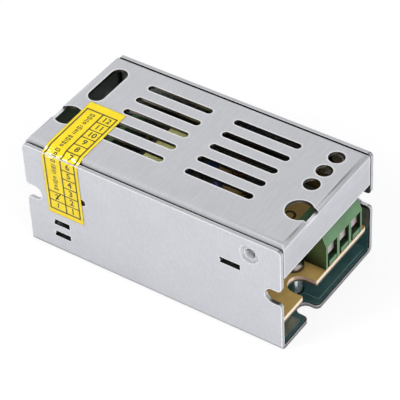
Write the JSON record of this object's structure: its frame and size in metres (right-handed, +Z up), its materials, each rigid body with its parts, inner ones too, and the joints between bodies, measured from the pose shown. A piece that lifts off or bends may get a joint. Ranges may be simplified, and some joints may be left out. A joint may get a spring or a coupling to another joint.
{
  "type": "caged switching power supply",
  "caption": "Small caged switching power supply: folded vented metal case open at both ends, circuit board in a film tray, screw terminals at each end.",
  "frame": {"origin": "bottom centre of the case", "axes": "+X along the case towards the output terminal, +Z up through the vented cover, -Y towards the wall with the seal label"},
  "size_m": [0.07, 0.0391, 0.0306],
  "materials": {
    "plated_steel": "bright nickel",
    "chip_body": "moulded",
    "can_metal": "bright",
    "capacitor_sleeve": "shrunk film",
    "case_metal": "satin, lightly brushed",
    "ferrite": "matt grey",
    "enamelled_wire": "enamelled copper",
    "board": "satin laminate",
    "film_capacitor_body": "dipped",
    "core_tape": "polyester tape",
    "cover_metal": "satin, lightly brushed",
    "fuse_body": "glass tube with metal caps",
    "clamp_metal": "tinned",
    "screw_steel": "zinc plated",
    "terminal_plastic": "moulded",
    "tinned_brass": "tinned",
    "thermistor_body": "dipped",
    "film": "glossy dark film",
    "optocoupler_body": "moulded",
    "diode_body": "moulded",
    "resistor_body": "lacquered",
    "disc_capacitor_body": "dipped",
    "label": "printed film",
    "bobbin_plastic": "moulded",
    "winding_tape": "polyester tape over copper"
  },
  "bodies": {
    "case": {"board_screw": "plated_steel", "board_standoff": "plated_steel", "bridge_rectifier": "chip_body", "bulk_capacitor_can": "can_metal", "bulk_capacitor_sleeve": "capacitor_sleeve", "chassis": "case_metal", "choke_core": "ferrite", "choke_windings": "enamelled_wire", "circuit_board": "board", "clamp_capacitor": "film_capacitor_body", "core_tape": "core_tape", "cover": "cover_metal", "fuse": "fuse_body", "input_terminal_housing": "terminal_plastic", "input_terminal_pins": "tinned_brass", "inrush_thermistor": "thermistor_body", "insulation_film": "film", "optocoupler": "optocoupler_body", "output_capacitor_can_1": "can_metal", "output_capacitor_can_2": "can_metal", "output_capacitor_sleeve_1": "capacitor_sleeve", "output_capacitor_sleeve_2": "capacitor_sleeve", "output_diode": "diode_body", "output_inductor_core": "ferrite", "output_inductor_winding": "enamelled_wire", "output_terminal_housing": "terminal_plastic", "output_terminal_pins": "tinned_brass", "resistors": "resistor_body", "safety_capacitor": "disc_capacitor_body", "seal_label": "label", "small_capacitor_can": "can_metal", "small_capacitor_sleeve": "capacitor_sleeve", "small_diodes": "diode_body", "switching_controller": "chip_body", "transformer_bobbin": "bobbin_plastic", "transformer_core": "ferrite", "transformer_winding": "winding_tape", "voltage_reference": "chip_body"},
    "output_screw_1": {"output_screw_1": "screw_steel"},
    "output_clamp_1": {"output_clamp_1": "clamp_metal"},
    "output_screw_2": {"output_screw_2": "screw_steel"},
    "output_clamp_2": {"output_clamp_2": "clamp_metal"},
    "output_screw_3": {"output_screw_3": "screw_steel"},
    "output_clamp_3": {"output_clamp_3": "clamp_metal"},
    "input_screw_1": {"input_screw_1": "screw_steel"},
    "input_clamp_1": {"input_clamp_1": "clamp_metal"},
    "input_screw_2": {"input_screw_2": "screw_steel"},
    "input_clamp_2": {"input_clamp_2": "clamp_metal"},
    "input_screw_3": {"input_screw_3": "screw_steel"},
    "input_clamp_3": {"input_clamp_3": "clamp_metal"}
  },
  "joints": [
    {"name": "output_screw_1_turn", "type": "hinge", "parent": "case", "child": "output_screw_1", "pos_m": [0.0297, 0.00322, 0.0175], "axis": [0, 0, -1], "range_deg": [0, 1260]},
    {"name": "output_clamp_1_lift", "type": "slide", "parent": "case", "child": "output_clamp_1", "axis": [0, 0, 1], "range_m": [0, 0.00175]},
    {"name": "output_screw_2_turn", "type": "hinge", "parent": "case", "child": "output_screw_2", "pos_m": [0.0297, 0.0083, 0.0175], "axis": [0, 0, -1], "range_deg": [0, 1260]},
    {"name": "output_clamp_2_lift", "type": "slide", "parent": "case", "child": "output_clamp_2", "axis": [0, 0, 1], "range_m": [0, 0.00175]},
    {"name": "output_screw_3_turn", "type": "hinge", "parent": "case", "child": "output_screw_3", "pos_m": [0.0297, 0.01338, 0.0175], "axis": [0, 0, -1], "range_deg": [0, 1260]},
    {"name": "output_clamp_3_lift", "type": "slide", "parent": "case", "child": "output_clamp_3", "axis": [0, 0, 1], "range_m": [0, 0.00175]},
    {"name": "input_screw_1_turn", "type": "hinge", "parent": "case", "child": "input_screw_1", "pos_m": [-0.0295, 0.00242, 0.0175], "axis": [0, 0, -1], "range_deg": [0, 1260]},
    {"name": "input_clamp_1_lift", "type": "slide", "parent": "case", "child": "input_clamp_1", "axis": [0, 0, 1], "range_m": [0, 0.00175]},
    {"name": "input_screw_2_turn", "type": "hinge", "parent": "case", "child": "input_screw_2", "pos_m": [-0.0295, 0.0075, 0.0175], "axis": [0, 0, -1], "range_deg": [0, 1260]},
    {"name": "input_clamp_2_lift", "type": "slide", "parent": "case", "child": "input_clamp_2", "axis": [0, 0, 1], "range_m": [0, 0.00175]},
    {"name": "input_screw_3_turn", "type": "hinge", "parent": "case", "child": "input_screw_3", "pos_m": [-0.0295, 0.01258, 0.0175], "axis": [0, 0, -1], "range_deg": [0, 1260]},
    {"name": "input_clamp_3_lift", "type": "slide", "parent": "case", "child": "input_clamp_3", "axis": [0, 0, 1], "range_m": [0, 0.00175]}
  ],
  "couplings": [
    {"joint": "output_screw_1_turn", "follows": "output_clamp_1_lift", "rad_per_m": 12566},
    {"joint": "output_screw_2_turn", "follows": "output_clamp_2_lift", "rad_per_m": 12566},
    {"joint": "output_screw_3_turn", "follows": "output_clamp_3_lift", "rad_per_m": 12566},
    {"joint": "input_screw_1_turn", "follows": "input_clamp_1_lift", "rad_per_m": 12566},
    {"joint": "input_screw_2_turn", "follows": "input_clamp_2_lift", "rad_per_m": 12566},
    {"joint": "input_screw_3_turn", "follows": "input_clamp_3_lift", "rad_per_m": 12566}
  ]
}
